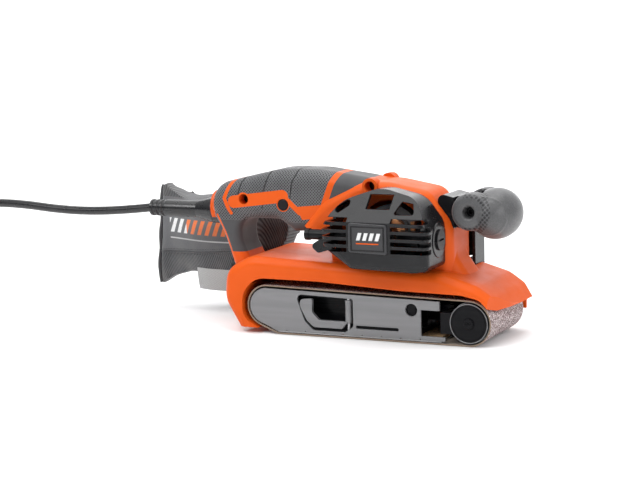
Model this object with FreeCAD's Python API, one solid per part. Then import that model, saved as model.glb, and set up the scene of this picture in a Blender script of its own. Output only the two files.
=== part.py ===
import FreeCAD, Part
import math
import os

# Handheld 3 x 18 inch belt sander, in millimetres.
# X runs forwards to the nose, Y to the tool's left, Z up. The sanding face is z = 0,
# and the origin is on it, in the middle of the belt's width.

V = FreeCAD.Vector
os.makedirs("parts", exist_ok=True)

# ---- driving dimensions ----
BELT_HALF = 38.0                      # half of the 76 mm (3 in) belt width
BELT_T = 1.0                          # cloth-backed belt with its grit
REAR_X, REAR_Z, REAR_R = -88.0, 22.4, 16.0      # drive roller centre, belt inner radius
FRONT_X, FRONT_Z, FRONT_R = 85.5, 18.0, 17.0    # idler roller centre, belt inner radius
PLATEN_REAR = -78.4                   # where the flat sanding run ends
GAP = 0.3                             # air between the belt and what it runs round
RUN = 0.05                            # radial clearance of a running shaft

MOTOR_X, MOTOR_Z = 16.0, 82.0         # armature axis, which lies along Y
FIELD_R, FIELD_BORE = 24.0, 18.0
ARMATURE_R = 17.4
SHAFT_R = 4.0
BRUSH_Y = -35.5                       # the plane of commutator and brushes

GEAR_MODULE = 1.0
PINION_TEETH, WHEEL_TEETH = 11, 34
COUNTER_X = -5.5                      # countershaft centre; its height follows from the gears
SMALL_PULLEY_TEETH, LARGE_PULLEY_TEETH, PULLEY_PITCH = 14, 28, 3.0

GRIP_HALF = 20.0                      # half width of the D-handle
ARCH_HALF = 23.0                      # half width of the motor shroud
WALL = 2.6                            # moulded wall
SKIN = 2.0                            # rubber overmould on the handle
GROOVE = 1.2                          # depth of the grooves in the overmould
GRIP_ROUND, PILLAR_ROUND, ARCH_ROUND = 11.0, 6.0, 8.0       # rounding of the housing's long edges
COLLAR_R = 6.6                        # raised ring round the arch's screw
PILLAR_HALF = 18.0                    # half width of the handle's rear pillar
GUARD_NEAR, GUARD_FAR = -41.0, 45.0   # side faces of the belt guard

HANDLE_X, HANDLE_Z = 81.6, 102.3      # pivot of the front handle, along Y
TRIGGER_X, TRIGGER_Z = -66.0, 90.0    # pivot of the trigger, along Y
LOCK_X, LOCK_Z = -79.7, 102.3         # lock-on button, along Y
TAIL_Z, TAIL_R = 100.0, 8.0           # where the cord sleeve enters the housing
LEVER_X, LEVER_Y = -16.5, -35.0       # hinge barrel of the tension lever, along Z
FORK_X = 56.0                         # tracking pivot of the front fork, along Z
KNOB_X, KNOB_Z = 58.0, 49.0           # tracking knob on the far side, along Y

PORT_Y, PORT_Z, PORT_R = 30.0, 39.5, 13.0       # dust spigot, along X
CORD_D = 7.4                          # power cord
CORD_EXIT_X, CORD_EXIT_Z = -212.0, 93.4         # where the cord leaves its sleeve
COIL_X, COIL_Y, COIL_R = -590.0, 86.0, 42.0     # coil of spare cord on the floor
COIL_TURNS_WIDE, COIL_TURNS_HIGH = 3, 3
FLOOR_GAP = 0.3


# ---- helpers ----
def outline(*corners):
    """Closed wire in the XZ plane through (x, z, radius) corners, each rounded by its radius."""
    ends = []
    n = len(corners)
    for i, (x, z, r) in enumerate(corners):
        here = V(x, 0, z)
        back = V(corners[i - 1][0], 0, corners[i - 1][1]) - here
        ahead = V(corners[(i + 1) % n][0], 0, corners[(i + 1) % n][1]) - here
        if r == 0:
            ends.append((here, here, here))
            continue
        back.normalize()
        ahead.normalize()
        half = back.getAngle(ahead) / 2
        reach = r / math.tan(half)
        middle = back + ahead
        middle.normalize()
        nearest = here + middle * (r / math.sin(half) - r)
        ends.append((here + back * reach, nearest, here + ahead * reach))
    edges = []
    for i, (start, middle, stop) in enumerate(ends):
        if start.distanceToPoint(stop) > 1e-6:
            edges.append(Part.Arc(start, middle, stop).toShape())
        following = ends[(i + 1) % n][0]
        if stop.distanceToPoint(following) > 1e-6:
            edges.append(Part.LineSegment(stop, following).toShape())
    return Part.Wire(edges)


def slab(wire, y0, y1):
    """The XZ outline made solid from y0 to y1."""
    face = Part.Face(wire)
    face.translate(V(0, y0, 0))
    return face.extrude(V(0, y1 - y0, 0))


def shrunk(wire, distance):
    """The same outline moved inwards by a distance."""
    return Part.Face(wire).makeOffset2D(-distance).OuterWire


def rod(x, z, r, y0, y1):
    """Cylinder along Y."""
    return Part.makeCylinder(r, y1 - y0, V(x, y0, z), V(0, 1, 0))


def ring(x, z, r_out, r_in, y0, y1):
    """Tube along Y."""
    return rod(x, z, r_out, y0, y1).cut(rod(x, z, r_in, y0 - 1, y1 + 1))


def spigot(y, z, r, x0, x1):
    """Cylinder along X."""
    return Part.makeCylinder(r, x1 - x0, V(x0, y, z), V(1, 0, 0))


def post(x, y, r, z0, z1):
    """Cylinder along Z."""
    return Part.makeCylinder(r, z1 - z0, V(x, y, z0), V(0, 0, 1))


def block(x0, x1, y0, y1, z0, z1):
    return Part.makeBox(x1 - x0, y1 - y0, z1 - z0, V(x0, y0, z0))


def soft_rim(shape, y, r, z_above=-1e3, x_below=1e3):
    """The shape with its edges in the plane y rounded, above a height and behind an x."""
    edges = [
        e for e in shape.Edges
        if abs(e.BoundBox.YMin - y) < 1e-3 and abs(e.BoundBox.YMax - y) < 1e-3
        and e.BoundBox.ZMin > z_above and e.BoundBox.XMax < x_below
    ]
    return shape.makeFillet(r, edges)


def joined(shapes):
    """Overlapping solids fused into one."""
    return shapes[0].fuse(shapes[1:]).removeSplitter()


def group(shapes):
    """Separate solids that share one node."""
    return Part.makeCompound(shapes)


def save(name, shape):
    shape.exportStep("parts/" + name + ".step")
    print(name, "solids", len(shape.Solids), "valid", shape.isValid(), "cm3", round(shape.Volume / 1000, 2))


# ---- the belt's path ----
def ramp_angle():
    """Angle of the run from the platen's rear edge up to the drive roller."""
    dx, dz = PLATEN_REAR - REAR_X, REAR_Z
    reach = math.hypot(dx, dz)
    return math.atan2(dz, dx) - math.asin((REAR_R + BELT_T) / reach)


def belt_loop(inset):
    """Closed XZ outline of the belt's path, a distance inside its abrasive face."""
    rear_r, front_r = REAR_R + BELT_T - inset, FRONT_R + BELT_T - inset
    dx, dz = FRONT_X - REAR_X, FRONT_Z - REAR_Z
    top = math.atan2(dz, dx) + math.acos((rear_r - front_r) / math.hypot(dx, dz))
    ramp = ramp_angle()
    under = 1.5 * math.pi - ramp

    def rear(a):
        return V(REAR_X + rear_r * math.cos(a), 0, REAR_Z + rear_r * math.sin(a))

    def front(a):
        return V(FRONT_X + front_r * math.cos(a), 0, FRONT_Z + front_r * math.sin(a))

    foot = V(PLATEN_REAR + inset * math.tan(ramp / 2), 0, inset)
    low = -math.pi / 2
    return Part.Wire([
        Part.LineSegment(front(top), rear(top)).toShape(),
        Part.Arc(rear(top), rear((top + under) / 2), rear(under)).toShape(),
        Part.LineSegment(rear(under), foot).toShape(),
        Part.LineSegment(foot, front(low)).toShape(),
        Part.Arc(front(low), front((low + top) / 2), front(top)).toShape(),
    ])


# ---- outlines that several pieces share ----
def guard_outline():
    return outline(
        (-113, 4.5, 0), (-126, 26, 22), (-124, 50.5, 17), (-102, 62.5, 22),
        (62, 55.5, 40), (92, 47, 22), (104.5, 38.5, 9), (111, 27.5, 0), (104.5, 27.5, 0), (104, 4.5, 0),
    )


def guard_void():
    """The space inside the guard in which the belt runs."""
    return outline(
        (-94.5, -5, 0), (-94.5, 4.4, 0), (-108.5, 12, 13), (-108.5, 45.2, 20.6), (-40, 45, 60),
        (30, 41.2, 60), (80, 40.3, 20), (95, 37.3, 12), (105.5, 26.5, 1), (120, 26.5, 0), (120, -5, 0),
    )


def beam_outline():
    """Grip beam, its front column and the column's foot inside the deck."""
    return outline(
        (-143, 88, 12), (-152, 101, 12), (-139, 118, 20), (-84, 130.8, 60), (-50, 131.2, 80),
        (-10, 126, 80), (20, 119.5, 60), (56, 108, 12), (66, 98, 12), (66, 66, 16), (80, 46, 0),
        (-30, 46, 0), (-34, 78, 9), (-48, 82, 9), (-72, 79.8, 13), (-86, 89.5, 10), (-122, 89.5, 0),
    )


def pillar_outline():
    """Rear pillar of the handle, flared into the beam above it."""
    return outline(
        (-126, 46, 0), (-137, 78, 40), (-148.5, 96, 7), (-134, 107, 8), (-104, 104, 7),
        (-102, 90.6, 0), (-121.6, 89.8, 12), (-120.5, 70, 20), (-108, 46, 0),
    )


def shroud_outline():
    """The orange arch round the motor."""
    return outline(
        (-34, 46, 0), (-37, 76, 10), (-62, 86.5, 0), (-45, 107, 30), (-10, 123.5, 40), (12, 123, 40),
        (46, 117, 14), (66, 92, 20), (66, 46, 0),
    )


def strip(points, half, y):
    """A band of constant width along a zigzag in the XZ plane, as a wall across the handle."""
    pieces = []
    for (x0, z0), (x1, z1) in zip(points, points[1:]):
        run = V(x1 - x0, 0, z1 - z0)
        side = V(-run.z, 0, run.x)
        side.normalize()
        a, b = V(x0, -y, z0), V(x1, -y, z1)
        face = Part.Face(Part.makePolygon([a + side * half, b + side * half, b - side * half,
                                           a - side * half, a + side * half]))
        pieces.append(face.extrude(V(0, 2 * y, 0)))
    pieces += [rod(x, z, half, -y, y) for x, z in points]
    return joined(pieces)


# ---- housing ----
def rounded_slab(wire, inset, half, r, z_above):
    """The outline moved inwards and made solid across the tool, with its long edges rounded."""
    solid = slab(wire if inset == 0 else shrunk(wire, inset), inset - half, half - inset)
    for y in (inset - half, half - inset):
        solid = soft_rim(solid, y, max(r - inset, 1.0), z_above)
    return solid


def handle_solid(inset):
    """The whole handle and column, a distance inside its outer skin."""
    beam = rounded_slab(beam_outline(), inset, GRIP_HALF, GRIP_ROUND, 58.0)
    return joined([beam, rounded_slab(pillar_outline(), inset, PILLAR_HALF, PILLAR_ROUND, 58.0)])


def shroud_solid(inset):
    return rounded_slab(shroud_outline(), inset, ARCH_HALF, ARCH_ROUND, 90.0)


def boss_places():
    """Screw bosses that join the two housing halves, with the half width of the housing there."""
    return [(-115.4, 105.8, GRIP_HALF), (-1.7, 119.8, ARCH_HALF)]


def cord_flange():
    """Collar at the tail of the handle, round the cord's sleeve."""
    return spigot(0, TAIL_Z - 3, 13.0, -150, -143.5)


def band_region():
    """Where the orange structure shows between the handle's grey panels."""
    return joined([
        strip([(-124.5, 103.4), (-80, 109.3)], 5.1, 30),
        strip([(-79, 109), (-65, 96.5)], 2.2, 30),
        slab(outline((-68, 101, 0.5), (-44, 103.5, 0.5), (-46.5, 92.8, 0.5), (-62.7, 90.6, 0.5)), -30, 30),
        strip([(-44.5, 100), (-36.4, 121), (-31, 131), (-28, 142)], 2.6, 30),
        strip([(-128, 94), (-133, 106), (-128, 118), (-122, 128)], 1.6, 30),
        strip([(-124.5, 50), (-133.5, 76), (-141, 92)], 0.9, 30),
    ])


def grip_grooves():
    """Shallow zigzag grooves across the overmould."""
    lines = group([
        strip([(-120.5, 108), (-118, 118), (-113, 132)], 0.5, 30),
        strip([(-98.5, 99), (-97.2, 112.2), (-93.4, 124.3), (-91, 136)], 0.5, 30),
        strip([(-73.5, 106), (-71.4, 120.3), (-68.6, 126), (-66, 137)], 0.5, 30),
    ])
    return lines.cut(handle_solid(GROOVE))


def housing_and_grips():
    handle, shroud = handle_solid(0), shroud_solid(0)
    deck = slab(guard_outline(), -60, 60)
    collars = []
    for x, z, half in boss_places():
        if half == ARCH_HALF:
            collars += [rod(x, z, COLLAR_R, -half - 0.4, 8 - half), rod(x, z, COLLAR_R, half - 8, half + 0.4)]
    outer = joined([handle, shroud, cord_flange()] + collars).cut(deck)
    hollow = handle_solid(WALL + SKIN).fuse(shroud_solid(WALL))
    grip = handle.cut(handle_solid(SKIN)).cut(deck).cut(shroud).cut(band_region())
    for zone in (block(6, 90, -40, 40, 40, 140), block(-170, -143.5, -40, 40, 70, 130),
                 block(-140, -100, -40, 40, 50, 62)):
        grip = grip.cut(zone)
    for x, z, half in boss_places():
        grip = grip.cut(rod(x, z, 5.6 if half == GRIP_HALF else COLLAR_R, -40, 40))
    grip = grip.cut(rod(LOCK_X, LOCK_Z, 5.6, -40, 40))
    shell = outer.cut(hollow).cut(grip)
    grip = grip.cut(grip_grooves())
    for opening in (trigger_slot(), spigot(0, TAIL_Z, TAIL_R, -170, -120)):
        shell, grip = shell.cut(opening), grip.cut(opening)
    return shell, grip


def trigger_slot():
    return block(-86.5, -66.5, -8.5, 8.5, 70, 98).fuse(rod(TRIGGER_X, TRIGGER_Z, 2.6, -8.5, 8.5))


def housing_halves(shell):
    """Two clamshell halves with screw bosses, and openings for what passes through."""
    inside = handle_solid(SKIN).fuse(shroud_solid(1.0))
    bosses = [rod(x, z, 5.5, 1 - half, half - 1).common(inside) for x, z, half in boss_places()]
    shell = joined([shell] + bosses)
    for x, z, half in boss_places():
        shell = shell.cut(rod(x, z, 2.05, -40, half - 4)).cut(rod(x, z, 4.3, -40, 11.2 - half))
    shell = shell.cut(rod(LOCK_X, LOCK_Z, 4.9, -40, 0))
    shell = shell.cut(rod(MOTOR_X, MOTOR_Z, FIELD_R + 4, -60, -10))
    shell = shell.cut(rod(MOTOR_X, MOTOR_Z, FIELD_R + 1, 10, 60))
    return shell.common(block(-200, 200, -60, 0, 0, 200)), shell.common(block(-200, 200, 0, 60, 0, 200))


# ---- belt guard ----
def belt_guard():
    outer = slab(guard_outline(), GUARD_NEAR, GUARD_FAR)
    for y in (GUARD_NEAR, GUARD_FAR):
        outer = soft_rim(outer, y, 7.0, 5.0, 96.0)
    plan = slab(outline((-130, -60, 0), (94, -60, 0), (101, -43, 14), (109, -8, 40), (111.5, 20, 20),
                        (111.5, 60, 0), (-130, 60, 0)), -80, 0)
    plan.rotate(V(0, 0, 0), V(1, 0, 0), -90)
    body = outer.common(plan)
    body = body.cut(slab(guard_void(), -60, GUARD_FAR - WALL))
    attic = slab(shrunk(guard_outline(), WALL), GUARD_NEAR + WALL, GUARD_FAR - WALL)
    body = body.cut(attic.common(block(-108.5, 93, -60, 60, 40, 80)))
    body = body.cut(block(94, 130, 30, 60, 0, 17))
    body = body.cut(rod(REAR_X, REAR_Z, 7.0, 30, 60))
    body = body.cut(block(-27, 50, -18, 42.4, 40, 70))
    body = body.cut(spigot(PORT_Y, PORT_Z, PORT_R - 2.0, -130, -104))
    return body.cut(rod(KNOB_X, KNOB_Z, 3.2, 38, 60))


# ---- belt train ----
def sanding_belt():
    return slab(belt_loop(0), -BELT_HALF, BELT_HALF).cut(slab(belt_loop(BELT_T), -BELT_HALF, BELT_HALF))


def platen_sheet(low, high, x0, x1):
    """A sheet that follows the belt's inner face along the platen and up its rear ramp."""
    sheet = slab(belt_loop(BELT_T + low), -36.3, 36.4).cut(slab(belt_loop(BELT_T + high), -60, 60))
    return sheet.common(block(x0, x1, -60, 60, -1, 9 if x0 < -80 else 6))


def drive_roller():
    y0, y1 = -33.0, 36.2
    core = ring(REAR_X, REAR_Z, 12.5, 5.0, y0, y1)
    sleeve = ring(REAR_X, REAR_Z, REAR_R - GAP, 12.5, y0, y1)
    grooves = [ring(REAR_X, REAR_Z, REAR_R, REAR_R - 1.3, y0 + 11.5 * k - 0.6, y0 + 11.5 * k + 0.6)
               for k in range(1, 6)]
    shaft = rod(REAR_X, REAR_Z, 5.0, -36.3, 56.5)
    return core, sleeve.cut(group(grooves)), shaft


def front_roller():
    """Idler, crowned by 0.6 mm so that the belt centres itself."""
    half, r = 34.8, FRONT_R - GAP
    a, b, c = V(0, -half, r - 0.6), V(0, 0, r), V(0, half, r - 0.6)
    side = Part.Wire([
        Part.Arc(a, b, c).toShape(),
        Part.LineSegment(c, V(0, half, 9)).toShape(),
        Part.LineSegment(V(0, half, 9), V(0, -half, 9)).toShape(),
        Part.LineSegment(V(0, -half, 9), a).toShape(),
    ])
    body = Part.Face(side).revolve(V(0, 0, 0), V(0, 1, 0), 360)
    body.translate(V(FRONT_X, 0, FRONT_Z))
    return body


def front_bearings():
    return group([ring(FRONT_X, FRONT_Z, 9.0, SHAFT_R + RUN, y, y + 9) for y in (-34.8, 25.8)])


def tracking_fork():
    arms = []
    for y0, y1 in ((-38.4, -35.4), (35.4, 38.4)):
        arms.append(rod(FRONT_X, FRONT_Z, 15.8, y0, y1))
        arms.append(block(62.3, FRONT_X, y0, y1, 9.0, 25.5))
    bridge = block(62.3, 67.8, -38.4, 38.4, 9.0, 25.5)
    eyes = [post(FORK_X, 0, 7.0, z, z + 3.4).fuse(block(FORK_X, 63, -7, 7, z, z + 3.4)) for z in (9.0, 22.1)]
    fork = joined(arms + [bridge] + eyes)
    rim = ring(FRONT_X, FRONT_Z, 14.6, 13.2, -39, -38.0)
    fork = fork.cut(rim).cut(rod(FRONT_X, FRONT_Z, SHAFT_R, -40, 40))
    return fork.cut(post(FORK_X, 0, 3.0 + RUN, 0, 40))


def front_axle():
    """Fixed axle; its near end stands out of the fork and has a screwdriver slot."""
    return rod(FRONT_X, FRONT_Z, SHAFT_R, -39.8, 38.4).cut(
        block(FRONT_X - 2.5, FRONT_X + 2.5, -41, -39.0, FRONT_Z - 0.6, FRONT_Z + 0.6))


def tension_yoke():
    bar = block(-6, FORK_X, -6, 6, 12.8, 21.7).fuse(post(FORK_X, 0, 6.0, 12.8, 21.7))
    stem = spigot(0, 17.2, 2.6, -40, -5)
    return joined([bar, stem]).cut(post(FORK_X, 0, 3.0, 0, 40))


def fork_pin():
    return post(FORK_X, 0, 3.0, 9.0, 25.5)


def tension_spring():
    """Compression spring round the yoke's stem, drawn as eight turns."""
    helix = Part.makeHelix(2.9, 23.2, 4.0)
    section = Part.Wire([Part.makeCircle(0.7, V(4.0, 0, 0), V(0, 1, 0))])
    coil = Part.Wire(helix).makePipeShell([section], True, True)
    coil.rotate(V(0, 0, 0), V(0, 1, 0), 90)
    coil.translate(V(-30.8, 0, 17.2))
    return coil


def belt_frame():
    """Casting inside the loop: spine, rear bearing arms and the far wall up to the deck."""
    spine = slab(belt_loop(4.6), -36.3, 38.6).common(block(-64, 41, -60, 60, 0, 60))
    spine = spine.cut(block(-46, 60, -6.3, 6.3, 12.5, 22.0))
    spine = spine.cut(block(-62, -11, -40, -23, 6.4, 31.6))
    spine = spine.cut(block(0, 60, -32, -11, 9, 30)).cut(block(0, 60, 11, 33, 9, 30))
    near = slab(belt_loop(3.6), -36.3, -33.6).common(block(-110, -62, -60, 60, 0, 60))
    near = near.fuse(block(-70, -62, -36.3, -23, 8, 33)).cut(block(-80, -60, -60, 0, 0, 4.7))
    far = slab(belt_loop(3.2), 36.6, 40).common(block(-110, 48, -60, 60, 0, 60))
    wall = slab(outline((-101.5, 12, 12), (-101.5, 70, 0), (50, 70, 0), (50, 6, 4)), 38.8, 42.2)
    wall = wall.common(slab(shrunk(guard_outline(), WALL), 0, 60))
    frame = joined([spine, near, far, wall])
    frame = frame.cut(rod(REAR_X, REAR_Z, 9.0, -40, -30)).cut(rod(REAR_X, REAR_Z, 11.0, 30, 50))
    return frame.cut(post(LEVER_X, LEVER_Y, 1.5, 0, 40)).cut(spigot(0, 17.2, 2.9, -60, -40))


def bearings():
    """Ball bearings of the drive roller, the countershaft and the armature."""
    places = [(REAR_X, REAR_Z, 9.0, 5.0, -36.3, -33.6), (REAR_X, REAR_Z, 11.0, 5.0, 36.8, 42.2)]
    places += [(COUNTER_X, gear_height(), 8.0, SHAFT_R, y0, y1) for y0, y1 in ((31.0, 36.0), (57.5, 61.0))]
    places += [(MOTOR_X, MOTOR_Z, r, SHAFT_R, y0, y1) for r, y0, y1 in ((9.5, -50, -45), (10.5, 29.5, 35.5))]
    return group([ring(x, z, r, bore + RUN, y0, y1) for x, z, r, bore, y0, y1 in places])


def side_plate():
    """Stamped cover over the open end of the frame."""
    plate = slab(belt_loop(2.6), -38.5, -36.5).common(block(-110, 66, -60, 60, 0, 60))
    plate = plate.cut(block(61.5, 70, -60, 60, 6.0, 60))
    recess = outline((-62, 33.5, 4), (-11.5, 32.0, 2), (-11.5, 9.8, 3), (-19, 4.8, 3),
                     (-46.5, 4.8, 4), (-54, 12, 5))
    plate = plate.cut(slab(recess, -60, 0)).cut(rod(38.1, 26.1, 5.0, -60, 0))
    plate = plate.cut(slab(outline((46, 26.6, 1), (64, 26.6, 0), (64, 6.0, 0), (46, 6.0, 1)), -60, 0))
    plate = plate.cut(strip([(-8, 9.7), (26, 9.7)], 1.3, 60))
    ticks = [block(-70 + 16.5 * k - 0.5, -70 + 16.5 * k + 0.5, -60, 0, 0, 3.6) for k in range(8)]
    return plate.cut(group(ticks))


def tension_lever():
    tab = outline((-57.6, 29.5, 3), (-47, 30.4, 1.5), (-47.6, 19.5, 4), (-41.5, 13.3, 3), (-16.4, 13.3, 0),
                  (-21.5, 7.4, 0), (-46, 7.4, 4), (-52.0, 12.5, 4), (-58.2, 24, 6))
    bar = slab(tab, -38.3, -35.2)
    barrel = post(LEVER_X, LEVER_Y, 3.0, 12.0, 30.6)
    return joined([bar, barrel]).cut(post(LEVER_X, LEVER_Y, 1.5 + RUN, 0, 40))


def lever_pin():
    return post(LEVER_X, LEVER_Y, 1.5, 5.2, 33.0)


# ---- motor and gears ----
def gear_outline(teeth, module, turn):
    """Involute gear outline centred on the origin in XZ, with backlash and short tips."""
    pitch_r = module * teeth / 2
    base_r = pitch_r * math.cos(math.radians(20))
    tip_r, root_r = pitch_r + 0.8 * module, pitch_r - 1.15 * module

    def flank(r):
        a = math.acos(min(1.0, base_r / r))
        return math.tan(a) - a

    half_tooth = math.pi / (2 * teeth) - 0.12 * module / pitch_r + flank(pitch_r)
    points = []
    for k in range(teeth):
        middle = turn + 2 * math.pi * k / teeth
        low = max(root_r, base_r)
        radii = [low + (tip_r - low) * i / 3 for i in range(4)]
        rise = [(root_r, half_tooth - flank(low))] if root_r < base_r - 1e-6 else []
        rise += [(r, half_tooth - flank(r)) for r in radii]
        points += [(r, middle - a) for r, a in rise] + [(r, middle + a) for r, a in reversed(rise)]
    places = [V(r * math.cos(a), 0, r * math.sin(a)) for r, a in points]
    return Part.makePolygon(places + [places[0]])


def gear_height():
    """Height of the countershaft, from the gears' centre distance."""
    distance = GEAR_MODULE * (PINION_TEETH + WHEEL_TEETH) / 2
    return MOTOR_Z - math.sqrt(distance ** 2 - (MOTOR_X - COUNTER_X) ** 2)


def gear(teeth, x, z, y0, y1, bore, turn):
    wheel = slab(gear_outline(teeth, GEAR_MODULE, turn), y0, y1)
    wheel.translate(V(x, 0, z))
    return wheel.cut(rod(x, z, bore, y0 - 1, y1 + 1))


def gear_pair():
    """Pinion and wheel in mesh: a pinion tooth points at the wheel, which shows it a space."""
    line = math.atan2(gear_height() - MOTOR_Z, COUNTER_X - MOTOR_X)
    pinion = gear(PINION_TEETH, MOTOR_X, MOTOR_Z, 37.5, 44.5, SHAFT_R, line)
    wheel = gear(WHEEL_TEETH, COUNTER_X, gear_height(), 38.0, 44.0, SHAFT_R,
                 line + math.pi + math.pi / WHEEL_TEETH)
    return pinion, wheel


def pulley(teeth, x, z, y0, y1, bore):
    """Toothed pulley with two flanges."""
    r = PULLEY_PITCH * teeth / (2 * math.pi)
    wheel = rod(x, z, r - 0.4, y0, y1)
    notches = [rod(x + (r - 0.1) * math.cos(a), z + (r - 0.1) * math.sin(a), 0.75, y0, y1)
               for a in (2 * math.pi * k / teeth for k in range(teeth))]
    wheel = wheel.cut(group(notches))
    flanges = [rod(x, z, r + 1.4, y, y + 1.0) for y in (y0 - 1.0, y1)]
    return joined([wheel] + flanges).cut(rod(x, z, bore, y0 - 3, y1 + 3))


def timing_belt(y0, y1):
    """Loop round both pulleys, clear of them by a running gap."""
    small = PULLEY_PITCH * SMALL_PULLEY_TEETH / (2 * math.pi) + 0.1
    large = PULLEY_PITCH * LARGE_PULLEY_TEETH / (2 * math.pi) + 0.1
    return two_circle_band(REAR_X, REAR_Z, large + 1.5, COUNTER_X, gear_height(), small + 1.5, y0, y1).cut(
        two_circle_band(REAR_X, REAR_Z, large, COUNTER_X, gear_height(), small, y0 - 1, y1 + 1))


def two_circle_band(x0, z0, r0, x1, z1, r1, y0, y1):
    """Solid bounded by two circles and their outer tangents."""
    a = math.atan2(z1 - z0, x1 - x0)
    reach = math.acos((r0 - r1) / math.hypot(x1 - x0, z1 - z0))

    def spot(x, z, r, angle):
        return V(x + r * math.cos(angle), y0, z + r * math.sin(angle))

    corners = [spot(x0, z0, r0, a + reach), spot(x1, z1, r1, a + reach),
               spot(x1, z1, r1, a - reach), spot(x0, z0, r0, a - reach)]
    web = Part.Face(Part.makePolygon(corners + [corners[0]])).extrude(V(0, y1 - y0, 0))
    return joined([web, rod(x0, z0, r0, y0, y1), rod(x1, z1, r1, y0, y1)])


def field_core():
    """Lamination stack with a slot each side of the bore for the coils."""
    core = ring(MOTOR_X, MOTOR_Z, FIELD_R, FIELD_BORE, -22.8, 12)
    for side in (-1, 1):
        x = MOTOR_X + side * 20.2
        core = core.cut(block(x - 1.7, x + 1.7, -30, 20, MOTOR_Z - 12.1, MOTOR_Z + 12.1))
    return core


def field_coils():
    coils = []
    for side in (-1, 1):
        x = MOTOR_X + side * 20.2
        outer = block(x - 1.6, x + 1.6, -28, 16, MOTOR_Z - 12, MOTOR_Z + 12)
        coils.append(outer.cut(block(x - 3, x + 3, -24.8, 12.8, MOTOR_Z - 9, MOTOR_Z + 9)))
    return group(coils)


def armature():
    shaft = rod(MOTOR_X, MOTOR_Z, SHAFT_R, -50, 45)
    core = ring(MOTOR_X, MOTOR_Z, ARMATURE_R, SHAFT_R, -23, 11)
    slots = [rod(MOTOR_X + ARMATURE_R * math.cos(a), MOTOR_Z + ARMATURE_R * math.sin(a), 1.2, -24, 12)
             for a in (2 * math.pi * k / 12 for k in range(12))]
    windings = group([ring(MOTOR_X, MOTOR_Z, 15.0, SHAFT_R, y, y + 5) for y in (-28, 11)])
    commutator = ring(MOTOR_X, MOTOR_Z, 10.0, SHAFT_R, -41, -30)
    bars = [block(MOTOR_X + 8.5, MOTOR_X + 11, -42, -29, MOTOR_Z - 0.25, MOTOR_Z + 0.25) for _ in range(16)]
    for k, bar in enumerate(bars):
        bar.rotate(V(MOTOR_X, 0, MOTOR_Z), V(0, 1, 0), 360 / 16 * k)
    return shaft, core.cut(group(slots)), windings, commutator.cut(group(bars))


def cooling_fan():
    hub = ring(MOTOR_X, MOTOR_Z, 8, SHAFT_R, 18, 26)
    disc = ring(MOTOR_X, MOTOR_Z, 23, SHAFT_R, 18, 19.5)
    blades = [block(MOTOR_X + 7, MOTOR_X + 22.5, 19, 26, MOTOR_Z - 0.7, MOTOR_Z + 0.7) for _ in range(12)]
    for k, blade in enumerate(blades):
        blade.rotate(V(MOTOR_X, 0, MOTOR_Z), V(0, 1, 0), 30 * k)
    return joined([hub, disc] + blades)


def brush_set():
    """Brushes, their holders and caps, fore and aft of the commutator."""
    brushes, holders = [], []
    for side in (-1, 1):
        inner, outer = MOTOR_X + side * 10.3, MOTOR_X + side * 20
        x0, x1 = min(inner, outer), max(inner, outer)
        brushes.append(block(x0, x1, BRUSH_Y - 3, BRUSH_Y + 3, MOTOR_Z - 4, MOTOR_Z + 4))
        end = MOTOR_X + side * 30
        hx0, hx1 = min(MOTOR_X + side * 12.5, end), max(MOTOR_X + side * 12.5, end)
        holder = block(hx0, hx1, BRUSH_Y - 4.5, BRUSH_Y + 4.5, MOTOR_Z - 5.5, MOTOR_Z + 5.5)
        bore = block(hx0 - 1, hx1 + 1, BRUSH_Y - 3, BRUSH_Y + 3, MOTOR_Z - 4, MOTOR_Z + 4)
        holders.append(holder.cut(bore))
    front = spigot(BRUSH_Y, MOTOR_Z, 8.0, MOTOR_X + 30, 63.0).cut(
        block(61.6, 64, BRUSH_Y - 5, BRUSH_Y + 5, MOTOR_Z - 0.8, MOTOR_Z + 0.8))
    rear = spigot(BRUSH_Y, MOTOR_Z, 4.2, -52.0, MOTOR_X - 30)
    rear = rear.fuse(spigot(BRUSH_Y, MOTOR_Z, 4.8, -52.0, -48.5))
    return group(brushes), group(holders), group([front, rear])


def gear_case_outline():
    return outline((MOTOR_X + 22, MOTOR_Z + 14, 10), (MOTOR_X + 22, MOTOR_Z - 18, 10), (-6, 50, 12),
                   (-28.5, 56, 12), (-28.5, 88, 14), (-4, 99, 14), (MOTOR_X, 104, 16))


def gear_case():
    case = slab(gear_case_outline(), 28.0, 46.0)
    case = case.cut(slab(shrunk(gear_case_outline(), WALL), 36.5, 50))
    case = case.cut(rod(MOTOR_X, MOTOR_Z, 10.5, 29.5, 50)).cut(rod(MOTOR_X, MOTOR_Z, 7, 20, 50))
    case = case.cut(rod(COUNTER_X, gear_height(), 8.0, 31, 50))
    return case.cut(slab(guard_outline(), -60, 60))


def countershaft():
    return rod(COUNTER_X, gear_height(), SHAFT_R, 31.0, 60.8)


def tunnel_outline():
    """Side view of the part that covers both pulleys."""
    return outline((-108, 3.5, 14), (-108, 41, 16), (-22, 94, 16), (12, 94, 14), (12, 60, 14), (-66, 3.5, 12))


def drum_outline():
    """Side view of the part round the gear case."""
    return outline((-32.5, 46, 0), (-32.5, 90, 14), (-6, 107, 20), (34, 107.5, 24), (69, 88, 12), (69, 46, 0))


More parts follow.
